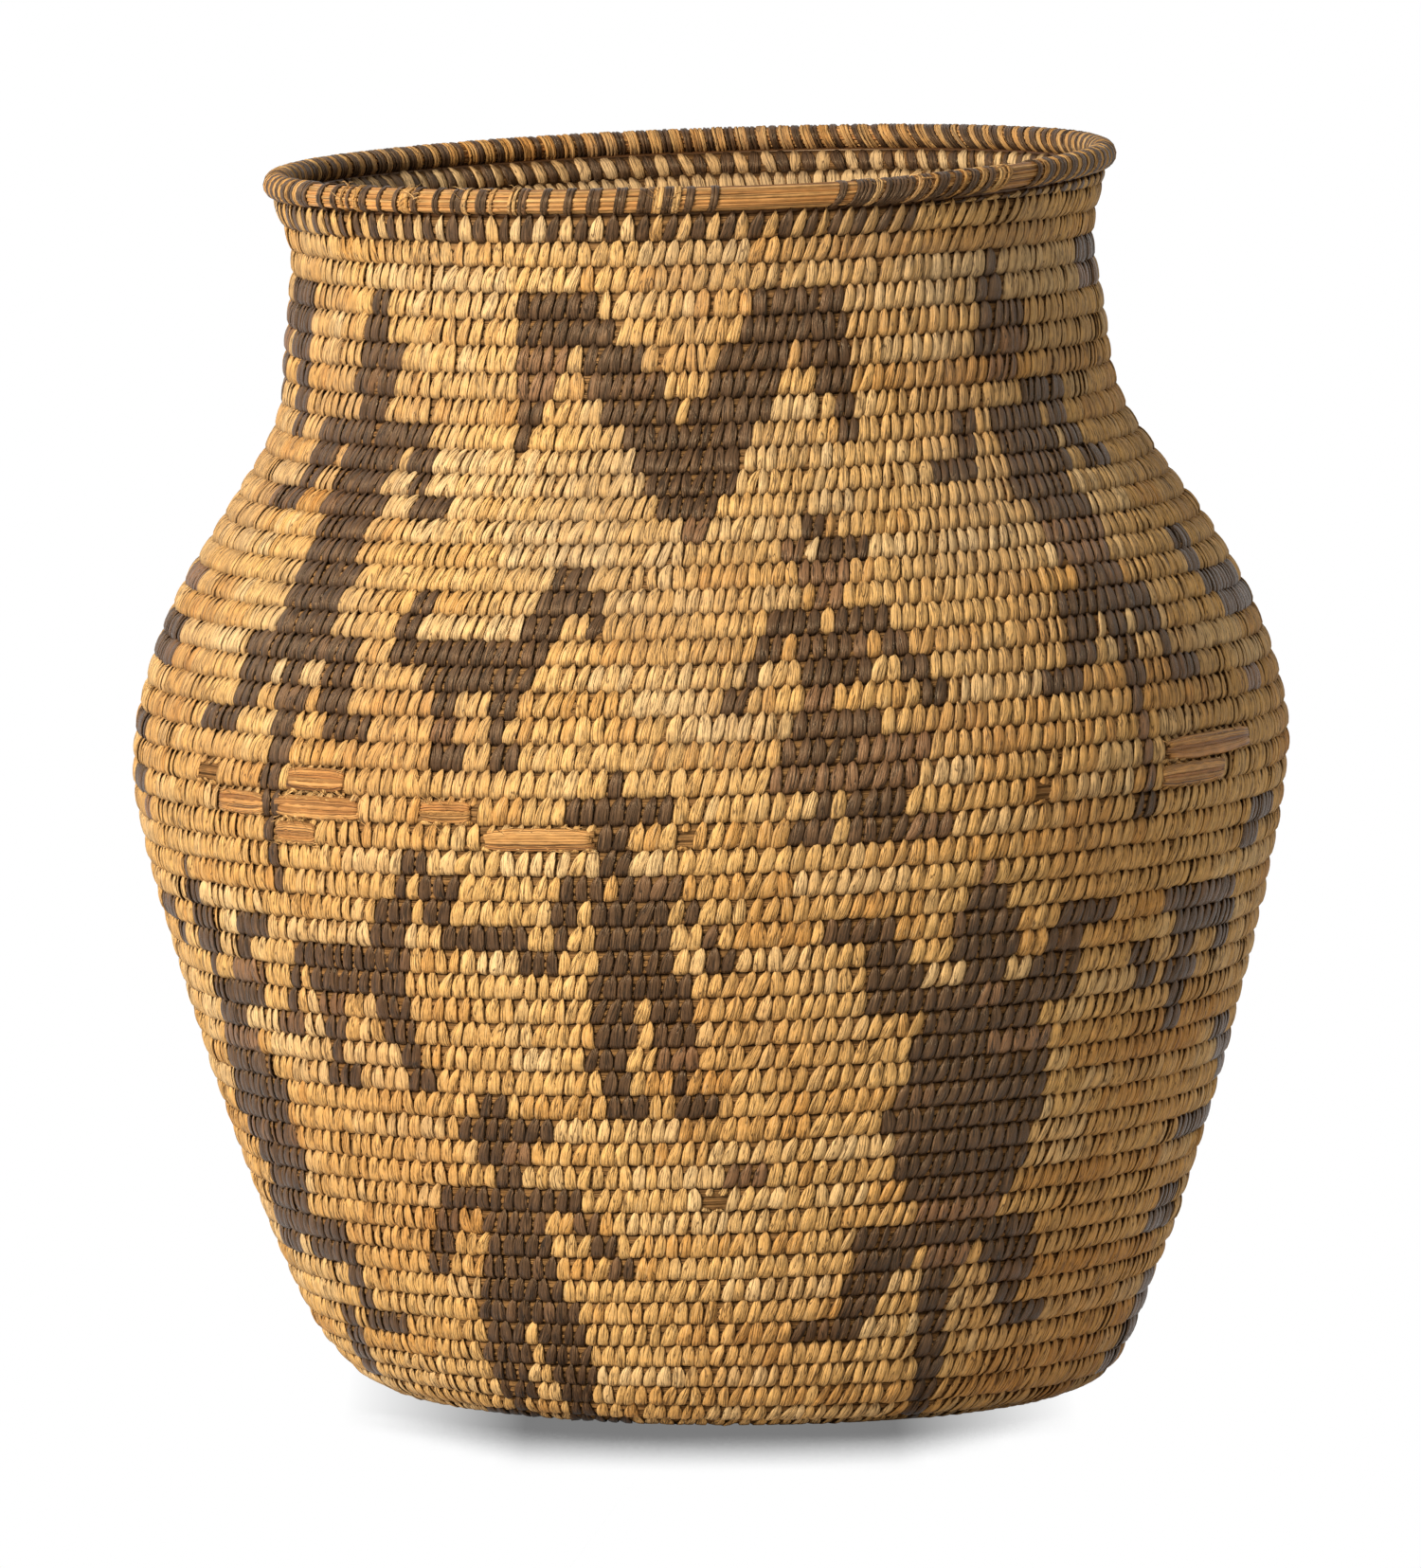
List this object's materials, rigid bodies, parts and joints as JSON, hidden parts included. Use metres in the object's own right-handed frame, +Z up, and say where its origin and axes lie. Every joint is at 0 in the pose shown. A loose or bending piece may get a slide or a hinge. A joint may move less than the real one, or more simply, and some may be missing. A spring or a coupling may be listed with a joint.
{
  "type": "figural basket",
  "caption": "Coiled basket jar with a flat base, full belly, narrower neck and flared rim, sewn with light and dark splints in human and animal figures.",
  "frame": {"origin": "on the ground under the middle of the belly, which is the bottom centre of the whole box", "axes": "+Z up through the mouth, -Y towards the front that the picture shows, +X to its right"},
  "size_m": [0.2877, 0.2878, 0.3092],
  "materials": {
    "light_splint": "dry split willow, matt to satin, straw to tan",
    "dark_splint": "split black seed pod, satin, brown-black",
    "bare_rod": "peeled rod, satin, warm tan with split grain"
  },
  "bodies": {
    "root": {"base_inner_coils": "light_splint", "base_outer_coils": "light_splint", "heel_coils": "light_splint", "foot_coils": "light_splint", "lower_wall_coils": "light_splint", "middle_wall_coils": "light_splint", "lower_belly_coils": "light_splint", "middle_belly_coils": "light_splint", "upper_belly_coils": "light_splint", "lower_shoulder_coils": "light_splint", "upper_shoulder_coils": "light_splint", "lower_neck_coils": "light_splint", "upper_neck_coils": "light_splint", "flare_coils": "light_splint", "start_knot": "light_splint", "rim_coil": "dark_splint", "rim_splint_01": "dark_splint", "rim_splint_02": "dark_splint", "rim_splint_03": "dark_splint", "rim_splint_04": "dark_splint", "rim_splint_05": "dark_splint", "rim_splint_06": "dark_splint", "rim_splint_07": "dark_splint", "rim_splint_08": "dark_splint", "rim_splint_09": "dark_splint", "rim_splint_10": "dark_splint", "rim_splint_11": "dark_splint", "rim_splint_12": "dark_splint", "rim_splint_13": "dark_splint", "rim_splint_14": "dark_splint", "rim_splint_15": "dark_splint", "rim_splint_16": "dark_splint", "rim_splint_17": "dark_splint", "rim_splint_18": "dark_splint", "rim_splint_19": "dark_splint", "rim_splint_20": "dark_splint", "rim_rod_1": "bare_rod", "rim_rod_2": "bare_rod", "rim_rod_3": "bare_rod", "worn_left_top_rod_1": "bare_rod", "worn_left_top_rod_2": "bare_rod", "worn_left_outer_rod_1": "bare_rod", "worn_left_outer_rod_2": "bare_rod", "worn_left_middle_rod_1": "bare_rod", "worn_left_middle_rod_2": "bare_rod", "worn_left_bottom_rod_1": "bare_rod", "worn_left_bottom_rod_2": "bare_rod", "worn_front_short_rod_1": "bare_rod", "worn_front_short_rod_2": "bare_rod", "worn_front_long_rod_1": "bare_rod", "worn_front_long_rod_2": "bare_rod", "worn_right_upper_rod_1": "bare_rod", "worn_right_upper_rod_2": "bare_rod", "worn_right_lower_rod_1": "bare_rod", "worn_right_lower_rod_2": "bare_rod"}
  },
  "joints": []
}
